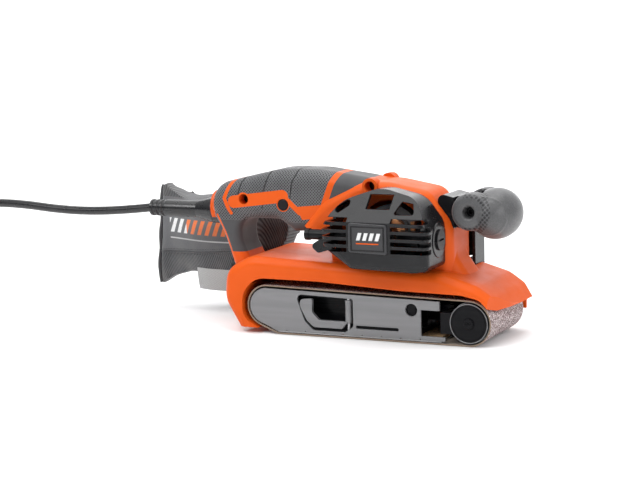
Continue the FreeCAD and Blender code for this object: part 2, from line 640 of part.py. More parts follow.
def drive_belt_cover():
    """Far-side cover: a drum round the gear case and a tunnel back to the drive roller."""
    drum = soft_rim(slab(drum_outline(), ARCH_HALF, 48.5), 48.5, 5.0, 50.0)
    tunnel = soft_rim(slab(tunnel_outline(), GUARD_FAR, 62.5), 62.5, 5.0)
    drum_hollow = slab(shrunk(drum_outline(), WALL), ARCH_HALF, 46.3)
    tunnel_hollow = slab(shrunk(tunnel_outline(), WALL), GUARD_FAR, 60.2)
    cover = joined([drum, tunnel]).cut([drum_hollow, tunnel_hollow])
    seat = rod(COUNTER_X, gear_height(), 10.5, 57.0, 62.0)
    cover = joined([cover, seat]).cut(rod(COUNTER_X, gear_height(), 8.0, 50, 61.0))
    cover = cover.cut(slab(guard_outline(), 0, GUARD_FAR)).cut(slab(guard_outline(), 0, 50).common(
        block(14, 120, 0, 60, 0, 60)))
    return cover.cut(rod(KNOB_X, KNOB_Z, 8.2, 40, 60))


# ---- motor cover ----
def cover_outline():
    return outline((-27.5, 76, 8), (-29, 92, 14), (-14, 112, 22), (14, 121.5, 34), (46, 114.5, 22),
                   (61, 95, 14), (61, 60, 5), (48, 58.2, 3), (-4, 59.5, 8))


def sloping_crown(depth):
    """What is taken off the cover's upper edge to leave its sloping, vented crown."""
    return Part.Face(Part.makePolygon([V(-60, y, z - 1.4 * depth) for y, z in (
        (-61.5, 97), (-36, 122), (-36, 150), (-80, 150), (-80, 78.9), (-61.5, 97))])).extrude(V(140, 0, 0))


def motor_cover():
    """Finned end cover over the brush end of the motor."""
    base = soft_rim(slab(cover_outline(), -61.5, -ARCH_HALF), -61.5, 6.0).cut(sloping_crown(0))
    inside = slab(shrunk(cover_outline(), WALL), -61.5 + WALL, -ARCH_HALF)
    cover = base.cut(inside.cut(sloping_crown(WALL)))
    for k in range(5):
        z = 73.3 + 5.8 * k
        cover = cover.cut(block(-40, -5.5, -70, -42, z, z + 3.4)).cut(block(31, 70, -70, -52, z, z + 3.4))
    cover = cover.cut(strip([(-15.5, 105.6), (-10, 109.6)], 2.6, 65))
    cover = cover.cut(block(7, 27, -70, -30, 106, 116.5))
    cover = cover.cut(slab(outline((31, 102.5, 1.5), (35.5, 112, 1.5), (45, 110.8, 1.5), (48.5, 103, 1.5)),
                           -70, -30))
    bearing_seat = ring(MOTOR_X, MOTOR_Z, 12.0, 9.5, -60, -45)
    boss = spigot(BRUSH_Y, MOTOR_Z, 13.6, 50, 61.6)
    lug = outline((-45, 74, 3), (-36, 80, 2), (-26, 80, 0), (-26, 72, 0), (-38, 68.5, 3))
    cover = joined([cover, bearing_seat, boss, slab(lug, -44, -38)])
    cover = cover.cut(spigot(BRUSH_Y, MOTOR_Z, 8.0, MOTOR_X + 30, 70))
    cover = cover.cut(spigot(BRUSH_Y, MOTOR_Z, 4.2, -60, -20))
    for x, z, half in boss_places():
        cover = cover.cut(rod(x, z, COLLAR_R + 0.4, -half - 0.8, 0))
    return cover.cut(slab(guard_outline(), -70, 60)).cut(block(-60, 80, -ARCH_HALF, 0, 40, 130))


def badge():
    plate = slab(outline((-3.5, 73.5, 2), (-3.5, 96.5, 2), (28.5, 95.5, 2), (28.5, 72.5, 2)), -62.6, -61.5)
    return soft_rim(plate, -62.6, 0.5)


# ---- front handle ----
def handle_bracket():
    arm = outline((44, 118.5, 5), (66, 112.5, 10), (84, 114.6, 11), (95.2, 102, 11), (82, 89.6, 11),
                  (66.6, 87.5, 3), (58, 102, 10))
    lug = slab(arm, -9.0, 9.0)
    wide = slab(arm, -17, 17).common(block(30, 66.4, -30, 30, 76, 136))
    whole = joined([lug, wide]).cut(handle_solid(0)).cut(shroud_solid(0))
    return max(whole.Solids, key=lambda s: s.Volume).cut(rod(HANDLE_X, HANDLE_Z, SHAFT_R, -30, 30))


def front_grip():
    """Egg-shaped palm knob with a forked hub."""
    half_long, half_wide, x, z = 28.0, 20.0, 95.5, 99.0
    arc = Part.ArcOfEllipse(Part.Ellipse(V(0, 0, 0), half_long, half_wide), 0, math.pi).toShape()
    chord = Part.LineSegment(V(-half_long, 0, 0), V(half_long, 0, 0)).toShape()
    egg = Part.Face(Part.Wire([arc, chord])).revolve(V(0, 0, 0), V(1, 0, 0), 360)
    egg.rotate(V(0, 0, 0), V(0, 0, 1), 90)
    egg.translate(V(x, 0, z))
    hub = rod(HANDLE_X, HANDLE_Z, 14.6, -26.5, 26.5)
    hub = soft_rim(soft_rim(hub, -26.5, 4.0), 26.5, 4.0)
    web = two_circle_band(HANDLE_X, HANDLE_Z, 13.0, x, z, 15.0, -20, 20)
    knob = joined([egg, hub, web])
    knob = knob.cut(rod(HANDLE_X, HANDLE_Z, 15.2, -9.4, 9.4))
    knob = knob.cut(block(60, HANDLE_X + 3, -9.4, 9.4, 76, 126))
    knob = knob.cut(rod(HANDLE_X, HANDLE_Z, SHAFT_R + RUN, -40, 40))
    for side in (-1, 1):
        knob = knob.cut(rod(HANDLE_X, HANDLE_Z, 5.0, min(side * 19, side * 30), max(side * 19, side * 30)))
    return knob


def front_handle_bolt():
    return rod(HANDLE_X, HANDLE_Z, SHAFT_R, -18.6, 18.6).cut(
        rod(HANDLE_X, HANDLE_Z, 2.0, -20, -15.5))


# ---- switch, cord and dust collection ----
def trigger():
    blade = outline((-84.5, 92, 0), (-67.5, 92, 0), (-67.5, 83, 3), (-73.5, 78.6, 3), (-84.5, 86.5, 4))
    paddle = soft_rim(soft_rim(slab(blade, -8.0, 8.0), -8.0, 2.0, 70), 8.0, 2.0, 70)
    return joined([paddle, block(-84.5, TRIGGER_X, -8, 8, 91.0, 94.0), rod(TRIGGER_X, TRIGGER_Z, 2.2, -8, 8)])


def lock_button():
    return soft_rim(rod(LOCK_X, LOCK_Z, 4.6, -20.6, -12.0), -20.6, 1.0)


def switch_module():
    return block(-86, -60, -10.5, 10.5, 99.5, 112).cut(rod(LOCK_X, LOCK_Z, 5.0, -30, -8.5))


def cord_clamp():
    """Saddle over the cord where it enters the handle."""
    return joined([block(-133, -122, -12, 12, 103.5, 107.0), block(-133, -122, -12, -8, 97.5, 104)])


def strain_relief():
    """Rubber sleeve: a cone from the housing that narrows to a straight sleeve."""
    z = CORD_EXIT_Z
    sleeve = spigot(0, z, 7.0, CORD_EXIT_X, -168)
    cone = Part.makeCone(7.0, 11.0, 16.0, V(-168, 0, z), V(1, 0, 0))
    root = spigot(0, z, 11.0, -152, -140)
    whole = joined([sleeve, cone, root]).cut(handle_solid(0)).cut(cord_flange())
    for k in range(3):
        whole = whole.cut(Part.makeTorus(7.6, 1.6, V(CORD_EXIT_X + 3.5 + 4.6 * k, 0, z), V(1, 0, 0)))
    return joined([whole, spigot(0, TAIL_Z, TAIL_R, -151, -134)])


def cord_route():
    """Points of the cord from its sleeve, level for a while, then down to the floor."""
    floor = CORD_D / 2 + FLOOR_GAP
    return [V(*p) for p in (
        (CORD_EXIT_X, 0, CORD_EXIT_Z), (-250, 0.5, 88.6), (-300, 1.5, 87.4), (-352, 3.0, 92.0),
        (-404, 6.5, 90.0), (-448, 12.0, 66.0), (-482, 20.0, 31.0), (-524, 30.0, 6.5),
        (-571, 40.0, floor),
    )]


def cord_tube():
    points = cord_route()
    edges, at = [], points[0]
    for before, here, after in zip(points, points[1:], points[2:]):
        back, ahead = before - here, after - here
        run = min(back.Length, ahead.Length)
        back.normalize()
        ahead.normalize()
        turn = math.pi - back.getAngle(ahead)
        r = 0.45 * run / math.tan(turn / 2)
        print("cord turn", round(math.degrees(turn), 1), "deg, radius", round(r, 1), "mm")
        start, stop = here + back * (0.45 * run), here + ahead * (0.45 * run)
        middle = back + ahead
        middle.normalize()
        half = (math.pi - turn) / 2
        nearest = here + middle * (r / math.sin(half) - r)
        edges += [Part.LineSegment(at, start).toShape(), Part.Arc(start, nearest, stop).toShape()]
        at = stop
    edges.append(Part.LineSegment(at, points[-1]).toShape())
    path = Part.Wire(edges)
    section = Part.Wire([Part.makeCircle(CORD_D / 2, points[0], points[1] - points[0])])
    tube = path.makePipeShell([section], True, True)
    print("cord tube length", round(path.Length, 1), "volume ratio",
          round(tube.Volume / (path.Length * math.pi * CORD_D ** 2 / 4), 4))
    return tube


def cord_coil():
    """The spare cord, as the outer shape of its stacked turns."""
    half = COIL_TURNS_WIDE * CORD_D / 2
    high = COIL_TURNS_HIGH * CORD_D
    band = post(COIL_X, COIL_Y, COIL_R + half, FLOOR_GAP, FLOOR_GAP + high).cut(
        post(COIL_X, COIL_Y, COIL_R - half, -1, high + 2))
    return band.makeFillet(CORD_D / 2 - 0.2, band.Edges)


def plug():
    """Two-blade plug on the floor beside the coil."""
    x0, y0, half = COIL_X + COIL_R + 34, COIL_Y + 30, 8.0
    z0 = FLOOR_GAP + half
    body = Part.makeBox(34, 25, 2 * half, V(x0, y0 - 12.5, FLOOR_GAP))
    body = body.makeFillet(3.5, body.Edges)
    neck = Part.makeCone(5.0, 7.0, 22, V(x0 - 20, y0, z0), V(1, 0, 0))
    tail = Part.makeCylinder(CORD_D / 2, 30, V(x0 - 48, y0, z0), V(1, 0, 0))
    blades = group([block(x0 + 33, x0 + 51, y0 + dy - 0.8, y0 + dy + 0.8, z0 - 3.2, z0 + 3.2)
                    for dy in (-6.35, 6.35)])
    return joined([body, neck, tail]), blades.cut(body)


def ring_x(r_out, r_in, x0, x1):
    """Tube along X on the dust spigot's axis."""
    return spigot(PORT_Y, PORT_Z, r_out, x0, x1).cut(spigot(PORT_Y, PORT_Z, r_in, x0 - 1, x1 + 1))


def dust_port():
    tube = ring_x(PORT_R, PORT_R - 2.0, -142, -118)
    flange = ring_x(PORT_R + 3.0, PORT_R - 2.0, -124, -118)
    return joined([tube, flange]).cut(slab(guard_outline(), -60, 60)).cut(handle_solid(0))


def bag_outline():
    return outline((-237.5, 15, 4), (-231, 111, 4), (-203, 99, 20), (-150, 103, 40), (-112, 91, 14),
                   (-104, 70, 12), (-118, 46, 12), (-128, 30, 8), (-160, 31, 40), (-202, 30, 20))


def dust_bag():
    """Cloth bag, flat at its rear seam, with a pocket for the spigot."""
    y0, y1 = 25.0, 84.0
    body = slab(bag_outline(), y0, y1)
    wedge = []
    for side, y in ((-1, y0), (1, y1)):
        seam = (y0 + y1) / 2 + side * 7
        wedge.append(Part.Face(Part.makePolygon([
            V(-240, y + side * 5, 0), V(-176, y + side * 5, 0), V(-176, y, 0), V(-234.5, seam, 0),
            V(-240, seam, 0), V(-240, y + side * 5, 0)])).extrude(V(0, 0, 140)))
    body = body.cut(group(wedge))
    body = body.cut(block(-128, -90, 0, 47.5, 0, 130))
    return body.cut(spigot(PORT_Y, PORT_Z, PORT_R + 4.2, -146, -100))


def bag_collar():
    return ring_x(PORT_R + 4.2, PORT_R + GAP, -146, -128)


# ---- tracking knob and fasteners ----
def tracking_knob():
    stem = rod(KNOB_X, KNOB_Z, 3.0, 39, 48)
    head = rod(KNOB_X, KNOB_Z, 7.0, 46.0, 56.0)
    flutes = [rod(KNOB_X + 7.9 * math.cos(a), KNOB_Z + 7.9 * math.sin(a), 1.8, 45, 58)
              for a in (2 * math.pi * k / 8 for k in range(8))]
    return joined([stem, head]).cut(group(flutes))


def screw_y(x, z, r, y_head, y_tip):
    """Pan-head screw along +Y with a cross recess."""
    head = rod(x, z, 2 * r, y_head, y_head + 2.2)
    cross = [block(x - a, x + a, y_head - 1, y_head + 1.2, z - b, z + b) for a, b in ((1.6, 0.4), (0.4, 1.6))]
    return joined([head, rod(x, z, r, y_head, y_tip)]).cut(group(cross))


def screws():
    """The 4 mm screws that hold the housing halves together."""
    return group([screw_y(x, z, 2.0, 9 - half, half - 5) for x, z, half in boss_places()])


def main():
    shell, grip = housing_and_grips()
    right, left = housing_halves(shell)
    save("housing_right", right)
    save("housing_left", left)
    save("grip_rubber_right", grip.common(block(-200, 200, -60, 0, 0, 200)))
    save("grip_rubber_left", grip.common(block(-200, 200, 0, 60, 0, 200)))
    save("belt_guard", belt_guard())
    save("sanding_belt", sanding_belt())
    save("steel_shoe", platen_sheet(GAP, GAP + 0.9, -84, 62))
    save("cork_pad", platen_sheet(GAP + 0.9, GAP + 3.3, -76, 60))
    for name, shape in zip(("drive_roller_core", "drive_roller_rubber", "drive_shaft"), drive_roller()):
        save(name, shape)
    save("front_roller", front_roller())
    save("front_roller_bearings", front_bearings())
    save("front_axle", front_axle())
    save("tracking_fork", tracking_fork())
    save("tension_yoke", tension_yoke())
    save("fork_pin", fork_pin())
    save("tension_spring", tension_spring())
    save("belt_frame", belt_frame())
    save("bearings", bearings())
    save("side_plate", side_plate())
    save("tension_lever", tension_lever())
    save("lever_pin", lever_pin())
    pinion, wheel = gear_pair()
    save("armature_pinion", pinion)
    save("counter_gear", wheel)
    save("small_pulley", pulley(SMALL_PULLEY_TEETH, COUNTER_X, gear_height(), 48.5, 55.5, SHAFT_R))
    save("large_pulley", pulley(LARGE_PULLEY_TEETH, REAR_X, REAR_Z, 48.5, 55.5, 5.0))
    save("timing_belt", timing_belt(49.0, 55.0))
    save("field_core", field_core())
    save("field_coils", field_coils())
    names = ("armature_shaft", "armature_core", "armature_windings", "commutator")
    for name, shape in zip(names, armature()):
        save(name, shape)
    save("cooling_fan", cooling_fan())
    for name, shape in zip(("carbon_brushes", "brush_holders", "brush_caps"), brush_set()):
        save(name, shape)
    save("gear_case", gear_case())
    save("countershaft", countershaft())
    save("drive_belt_cover", drive_belt_cover())
    save("motor_cover", motor_cover())
    save("badge", badge())
    save("handle_bracket", handle_bracket())
    save("front_grip", front_grip())
    save("front_handle_bolt", front_handle_bolt())
    save("trigger", trigger())
    save("lock_button", lock_button())
    save("switch_module", switch_module())
    save("cord_clamp", cord_clamp())
    save("strain_relief", strain_relief())
    save("cord_tube", cord_tube())
    save("cord_coil", cord_coil())
    body, blades = plug()
    save("plug_body", body)
    save("plug_blades", blades)
    save("dust_port", dust_port())
    save("dust_bag", dust_bag())
    save("bag_collar", bag_collar())
    save("tracking_knob", tracking_knob())
    save("screws", screws())


main()
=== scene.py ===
import bmesh
import bpy
import math
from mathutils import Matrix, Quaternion, Vector, noise as solid_noise
from mathutils.bvhtree import BVHTree


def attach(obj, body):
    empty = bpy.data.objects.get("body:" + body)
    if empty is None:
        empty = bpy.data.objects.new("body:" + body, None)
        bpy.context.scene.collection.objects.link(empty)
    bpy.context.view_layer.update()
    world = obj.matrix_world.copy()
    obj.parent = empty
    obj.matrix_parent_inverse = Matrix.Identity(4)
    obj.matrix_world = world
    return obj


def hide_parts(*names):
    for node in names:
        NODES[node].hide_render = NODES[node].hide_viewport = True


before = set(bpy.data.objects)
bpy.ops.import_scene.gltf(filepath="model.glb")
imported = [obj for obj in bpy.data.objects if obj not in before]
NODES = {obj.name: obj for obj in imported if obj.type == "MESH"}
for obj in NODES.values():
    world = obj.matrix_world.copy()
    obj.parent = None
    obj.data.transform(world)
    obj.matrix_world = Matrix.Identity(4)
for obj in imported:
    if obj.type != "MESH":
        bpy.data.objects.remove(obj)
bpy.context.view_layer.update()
SCENE = bpy.context.scene

# ---- lengths repeated from the CAD source, in metres ----
CORD_D = 0.0074
FLOOR_GAP = 0.0003
ROUTE = [
    (-0.212, 0, 0.0934), (-0.250, 0.0005, 0.0886), (-0.300, 0.0015, 0.0874), (-0.352, 0.003, 0.092),
    (-0.404, 0.0065, 0.090), (-0.448, 0.012, 0.066), (-0.482, 0.020, 0.031), (-0.524, 0.030, 0.0065),
    (-0.571, 0.040, CORD_D / 2 + FLOOR_GAP),
]
COIL_CENTRE, COIL_R = (-0.590, 0.086), 0.042
COIL_WIDE, COIL_ROWS = 3, 3
HANDLE_PIVOT = (0.0816, 0.1023)
REAR_ROLLER, FRONT_ROLLER = Vector((-0.088, 0, 0.0224)), Vector((0.0855, 0, 0.018))
PORT_Y, PORT_Z = 0.030, 0.0395
PLUG_AT = Vector((-0.514, 0.116, 0.0083))
BADGE_Y = -0.0626
BAG_REAR = -0.236

# ---- a point on the bag's side seam, and the seam's slope ----
SEAM_X, SEAM_Z, SEAM_RISE = -0.2228, 0.0481, 0.078


# ---- camera, floor and light ----
def linked(obj):
    SCENE.collection.objects.link(obj)
    return obj


def make_camera():
    eye, look, roll = Vector((0.5830, -1.3631, 0.2997)), Vector((-0.0471, -0.0205, 0.0751)), -1.43
    data = bpy.data.cameras.new("camera")
    data.lens, data.sensor_width = 105.3, 36.0
    data.clip_start, data.clip_end = 0.05, 50
    cam = linked(bpy.data.objects.new("camera", data))
    cam.location = eye
    cam.rotation_mode = "QUATERNION"
    turn = (look - eye).to_track_quat("-Z", "Y")
    cam.rotation_quaternion = turn @ Quaternion((0, 0, 1), math.radians(roll))
    SCENE.camera = cam


def area_light(name, at, target, size, power):
    data = bpy.data.lights.new(name, "AREA")
    data.shape, data.size, data.size_y = "RECTANGLE", size[0], size[1]
    data.energy = power
    lamp = linked(bpy.data.objects.new(name, data))
    lamp.location = at
    lamp.rotation_euler = (Vector(target) - Vector(at)).to_track_quat("-Z", "Y").to_euler()


def make_floor():
    """A pale sweep: flat floor that curves up behind into a wall."""
    front, bend_at, bend, top, half_width, drop, steps = -4.0, 2.6, 1.6, 5.0, 7, 0.0004, 16
    bm = bmesh.new()
    profile = [(front, 0.0), (bend_at, 0.0)]
    for a in (math.pi / 2 * k / steps for k in range(1, steps + 1)):
        profile.append((bend_at + bend * math.sin(a), bend - bend * math.cos(a)))
    profile.append((bend_at + bend, top))
    rows = [[bm.verts.new((x, y, z - drop)) for x in (-half_width, half_width)] for y, z in profile]
    for a, b in zip(rows, rows[1:]):
        bm.faces.new((a[0], a[1], b[1], b[0]))
    mesh = bpy.data.meshes.new("floor")
    bm.to_mesh(mesh)
    bm.free()
    for p in mesh.polygons:
        p.use_smooth = True
    floor = linked(bpy.data.objects.new("floor", mesh))
    floor.rotation_euler = (0, 0, math.radians(23))
    mesh.materials.append(floor_paper())


def make_light():
    """Soft boxes round the tool, and a sky that is bright above and dim towards the viewer."""
    world = bpy.data.worlds.new("studio")
    SCENE.world = world
    world.use_nodes = True
    tree = world.node_tree
    _, y, z = axes(tree, add(tree, "TexCoord").outputs["Generated"])
    lift = maths(tree, "ADD", z, maths(tree, "MULTIPLY", y, 0.45))
    glow = ramp(tree, span(tree, lift, -0.3, 0.9), (0.0, (0.10, 0.10, 0.11)), (0.45, (0.30, 0.31, 0.33)),
                (1.0, (1.0, 1.0, 1.0)))
    tree.links.new(glow, tree.nodes["Background"].inputs["Color"])
    tree.nodes["Background"].inputs["Strength"].default_value = 0.95
    area_light("overhead", (-0.10, 0.10, 1.3), (0, 0, 0.06), (1.5, 0.9), 13)
    area_light("key", (-1.0, -1.3, 1.2), (-0.05, 0, 0.08), (0.6, 0.6), 11)
    area_light("front", (1.5, -0.6, 0.7), (0.05, 0, 0.06), (0.4, 0.9), 10)
    area_light("floor wash", (-0.3, -1.6, 1.7), (-0.2, -0.3, 0), (1.6, 0.5), 18)
    area_light("backdrop", (-0.8, 1.7, 2.6), (-1.4, 4.0, 0.5), (3.0, 1.0), 150)
    SCENE.view_settings.view_transform = "Standard"


# ---- node helpers ----
def add(tree, kind, inputs=None, **settings):
    node = tree.nodes.new("ShaderNode" + kind)
    for key, value in settings.items():
        setattr(node, key, value)
    for key, value in (inputs or {}).items():
        socket = node.inputs[key]
        if isinstance(value, bpy.types.NodeSocket):
            tree.links.new(value, socket)
        else:
            socket.default_value = value
    return node


def surface(name, **values):
    """A material with a Principled shader whose uniform values are set on its own sockets."""
    made = bpy.data.materials.new(name)
    made.use_nodes = True
    tree = made.node_tree
    tree.nodes.clear()
    shader = add(tree, "BsdfPrincipled", values)
    add(tree, "OutputMaterial", {"Surface": shader.outputs[0]})
    return made, tree, shader


def place(tree, scale=(1, 1, 1), turn=(0, 0, 0)):
    at = add(tree, "TexCoord").outputs["Object"]
    return add(tree, "Mapping", {"Vector": at, "Scale": scale, "Rotation": turn}).outputs[0]


def noise(tree, at, scale, detail=3.0, rough=0.55):
    inputs = {"Vector": at, "Scale": scale, "Detail": detail, "Roughness": rough}
    return add(tree, "TexNoise", inputs).outputs["Fac"]


def cells(tree, at, scale, randomness=1.0, output="Distance", **settings):
    inputs = {"Vector": at, "Scale": scale, "Randomness": randomness}
    return add(tree, "TexVoronoi", inputs, **settings).outputs[output]


def ramp(tree, fac, *stops):
    node = add(tree, "ValToRGB", {"Fac": fac})
    while len(node.color_ramp.elements) < len(stops):
        node.color_ramp.elements.new(0.5)
    for element, (at, colour) in zip(node.color_ramp.elements, stops):
        element.position = at
        element.color = (*colour, 1)
    return node.outputs["Color"]


def span(tree, value, low, high, to_low=0.0, to_high=1.0):
    return add(tree, "MapRange", {"Value": value, "From Min": low, "From Max": high, "To Min": to_low,
                                  "To Max": to_high}).outputs[0]


def maths(tree, operation, a, b=0.0):
    return add(tree, "Math", {0: a, 1: b}, operation=operation).outputs[0]


def product(tree, *values):
    result = values[0]
    for value in values[1:]:
        result = maths(tree, "MULTIPLY", result, value)
    return result


def mixed(tree, fac, a, b):
    """Colour a where fac is 0 and b where it is 1."""
    node = add(tree, "Mix", {"Factor": fac}, data_type="RGBA")
    for key, value in ((6, a), (7, b)):
        if isinstance(value, bpy.types.NodeSocket):
            tree.links.new(value, node.inputs[key])
        else:
            node.inputs[key].default_value = (*value, 1)
    return node.outputs[2]


def bump(tree, height, distance, strength=1.0, normal=None):
    inputs = {"Height": height, "Distance": distance, "Strength": strength}
    if normal is not None:
        inputs["Normal"] = normal
    return add(tree, "Bump", inputs).outputs[0]


def worn_edge(tree):
    """Normals that turn over a small radius at sharp edges, as on anything moulded or painted."""
    return add(tree, "Bevel", {"Radius": 0.0007}, samples=4).outputs[0]


def wire(tree, shader, **sockets):
    for key, value in sockets.items():
        tree.links.new(value, shader.inputs[key.replace("_", " ")])


def axes(tree, at):
    split = add(tree, "SeparateXYZ", {0: at})
    return split.outputs[0], split.outputs[1], split.outputs[2]


# ---- materials ----
def floor_paper():
    made, tree, shader = surface("floor_paper", Roughness=0.85)
    at = place(tree)
    tint = ramp(tree, noise(tree, at, 3.0), (0.3, (0.86, 0.86, 0.865)), (0.7, (0.89, 0.89, 0.89)))
    wire(tree, shader, Base_Color=tint, Normal=bump(tree, noise(tree, at, 900), 0.00005))
    return made


def moulded(name, dark, light, rough=(0.35, 0.5), grain=1900.0, depth=0.00003, soft=False, **values):
    """Moulded plastic: slow colour drift, spark-eroded grain and handling marks in the gloss.
    soft rounds its sharp edges."""
    made, tree, shader = surface(name, **values)
    at = place(tree)
    drift = noise(tree, at, 14.0, 4.0)
    colour = ramp(tree, drift, (0.3, dark), (0.7, light))
    handled = noise(tree, place(tree, (1, 1, 2.2)), 70.0, 5.0, 0.65)
    grained = noise(tree, at, grain, 2.0)
    scuffs = noise(tree, place(tree, (40, 700, 700), (0.3, 0.5, 0.2)), 1.0, 3.0)
    height = maths(tree, "ADD", grained, maths(tree, "MULTIPLY", scuffs, 0.25))
    wire(tree, shader, Base_Color=colour, Roughness=span(tree, handled, 0.3, 0.7, *rough),
         Normal=bump(tree, height, depth, normal=worn_edge(tree) if soft else None))
    return made


def sided(tree, at, pattern, amount=0.6):
    """A flat pattern projected on side faces (x, z) and on top and bottom faces (x, y)."""
    x, y, z = axes(tree, at)
    side = add(tree, "CombineXYZ", {0: x, 1: z}).outputs[0]
    top = add(tree, "CombineXYZ", {0: x, 1: y}).outputs[0]
    end = add(tree, "CombineXYZ", {0: y, 1: z}).outputs[0]
    normal = add(tree, "TexCoord").outputs["Normal"]
    nx, _, nz = axes(tree, normal)
    upward = maths(tree, "GREATER_THAN", maths(tree, "ABSOLUTE", nz), amount)
    endward = maths(tree, "GREATER_THAN", maths(tree, "ABSOLUTE", nx), 0.75)
    first = mixed(tree, upward, pattern(side), pattern(top))
    return mixed(tree, endward, first, pattern(end))


def dimples(tree, pitch, size):
    """A staggered grid of round pits: 0 in a pit and 1 between them."""
    def pattern(at):
        turned = add(tree, "Mapping", {"Vector": at, "Rotation": (0, 0, math.pi / 4)}).outputs[0]
        d = cells(tree, turned, 1.0 / pitch, 0.0, voronoi_dimensions="2D")
        return span(tree, d, size * 0.75, size * 1.25)
    return pattern


def grip_rubber():
    """Soft grip: staggered fine dimples behind the slanted orange leg, smooth ahead of it and low down. The
    dimples and the low part carry painted shade.
    """
    made, tree, shader = surface("grip_rubber", **{"Sheen Weight": 0.25, "Sheen Roughness": 0.4,
                                                   "Specular IOR Level": 0.4})
    leg_x, leg_z, leg_lean, plain_below, pitch = -0.0485, 0.093, 0.33, 0.088, 0.0018
    at = place(tree)
    x, _, z = axes(tree, at)
    above_leg = maths(tree, "MULTIPLY", maths(tree, "SUBTRACT", z, leg_z), leg_lean)
    ahead = maths(tree, "GREATER_THAN", maths(tree, "SUBTRACT", x, above_leg), leg_x)
    plain = maths(tree, "MAXIMUM", ahead, maths(tree, "LESS_THAN", z, plain_below))
    dots = sided(tree, at, dimples(tree, pitch, 0.34))
    open_dots = maths(tree, "MAXIMUM", dots, plain)
    drift = ramp(tree, noise(tree, at, 30, 4), (0.3, (0.085, 0.086, 0.09)), (0.7, (0.125, 0.126, 0.13)))
    # Ahead of the leg the smooth rubber is darker; low down, under the handle, this darkening is painted
    # shade.
    drift = mixed(tree, maths(tree, "MULTIPLY", plain, 0.75), drift, (0.03, 0.03, 0.032))
    # The pits are painted near black: painted shade in the dimples.
    colour = mixed(tree, open_dots, (0.006, 0.006, 0.007), drift)
    fine = noise(tree, at, 1800, 2)
    height = maths(tree, "ADD", open_dots, maths(tree, "MULTIPLY", fine, 0.12))
    wire(tree, shader, Base_Color=colour, Roughness=span(tree, noise(tree, at, 50, 5), 0.3, 0.7, 0.5, 0.68),
         Normal=bump(tree, height, 0.00022, 0.8))
    return made


def knob_rubber():
    """Palm knob: fine stipple all over and a coarse mesh round the front of the hub. The low cells of the
    stipple, the mesh's pits and the mesh band in the hollow neck are painted dark as shade.
    """
    made, tree, shader = surface("knob_rubber", **{"Sheen Weight": 0.2, "Sheen Roughness": 0.4})
    at = place(tree)
    x, y, z = axes(tree, at)
    inner_r, outer_r, behind, hub_half = 0.0115, 0.0185, -0.004, 0.0085
    dx, dz = maths(tree, "SUBTRACT", x, HANDLE_PIVOT[0]), maths(tree, "SUBTRACT", z, HANDLE_PIVOT[1])
    away = maths(tree, "SQRT", maths(tree, "ADD", product(tree, dx, dx), product(tree, dz, dz)))
    band = product(tree, span(tree, away, inner_r, inner_r + 0.0005),
                   span(tree, away, outer_r, outer_r - 0.001),
                   maths(tree, "GREATER_THAN", dx, behind),
                   maths(tree, "GREATER_THAN", maths(tree, "ABSOLUTE", y), hub_half))
    coarse = sided(tree, at, dimples(tree, 0.0026, 0.40), 0.85)
    stipple = span(tree, cells(tree, at, 1150), 0.15, 0.5)
    tone = ramp(tree, noise(tree, at, 40, 4), (0.3, (0.075, 0.075, 0.077)), (0.7, (0.115, 0.115, 0.117)))
    # The low cells between the stipple bumps are painted darker: painted shade.
    pits = mixed(tree, maths(tree, "MULTIPLY", stipple, 0.5), tone, (0.03, 0.03, 0.032))
    # The coarse mesh is painted darker than the rest and its pits near black: painted shade in the pits and
    # in the hollow of the neck.
    mesh = mixed(tree, coarse, (0.004, 0.004, 0.005), (0.07, 0.07, 0.073))
    height = maths(tree, "SUBTRACT", product(tree, coarse, band), maths(tree, "MULTIPLY", stipple, 0.35))
    wire(tree, shader, Base_Color=mixed(tree, band, pits, mesh),
         Roughness=span(tree, noise(tree, at, 60, 5), 0.3, 0.7, 0.34, 0.48),
         Normal=bump(tree, height, 0.00025, 0.8))
    return made


def painted(name, dark, light, rough=(0.3, 0.42), **values):
    """Paint on sheet or cast metal, with faint orange peel and long rubbed marks."""
    made, tree, shader = surface(name, **values)
    at = place(tree)
    rubbed = noise(tree, place(tree, (6, 120, 120)), 1.0, 5.0, 0.6)
    colour = ramp(tree, rubbed, (0.35, dark), (0.65, light))
    peel = noise(tree, at, 420, 2)
    wire(tree, shader, Base_Color=colour, Roughness=span(tree, rubbed, 0.3, 0.7, *rough),
         Normal=bump(tree, peel, 0.00003, 0.6, worn_edge(tree)))
    return made


def metal(name, dark, light, rough=(0.22, 0.4), stretch=(700, 30, 700)):
    """Machined metal with a fine lay of tool marks along one axis."""
    made, tree, shader = surface(name, Metallic=1.0)
    lay = noise(tree, place(tree, stretch), 1.0, 4.0, 0.6)
    stain = noise(tree, place(tree), 60, 4)
    wire(tree, shader, Base_Color=ramp(tree, stain, (0.3, dark), (0.7, light)),
         Roughness=span(tree, lay, 0.3, 0.7, *rough), Normal=bump(tree, lay, 0.00002, 0.7))
    return made


def wound(name, dark, light, pitch):
    """Strands lying side by side."""
    made, tree, shader = surface(name, Metallic=1.0)
    lines = add(tree, "TexWave", {"Vector": place(tree), "Scale": 1.0 / pitch / 3.1,
                                  "Distortion": 0.6, "Detail": 1.0}, bands_direction="Z").outputs["Fac"]
    wire(tree, shader, Base_Color=ramp(tree, lines, (0.1, dark), (0.7, light)),
         Roughness=span(tree, lines, 0, 1, 0.55, 0.3), Normal=bump(tree, lines, 0.0003, 0.9))
    return made


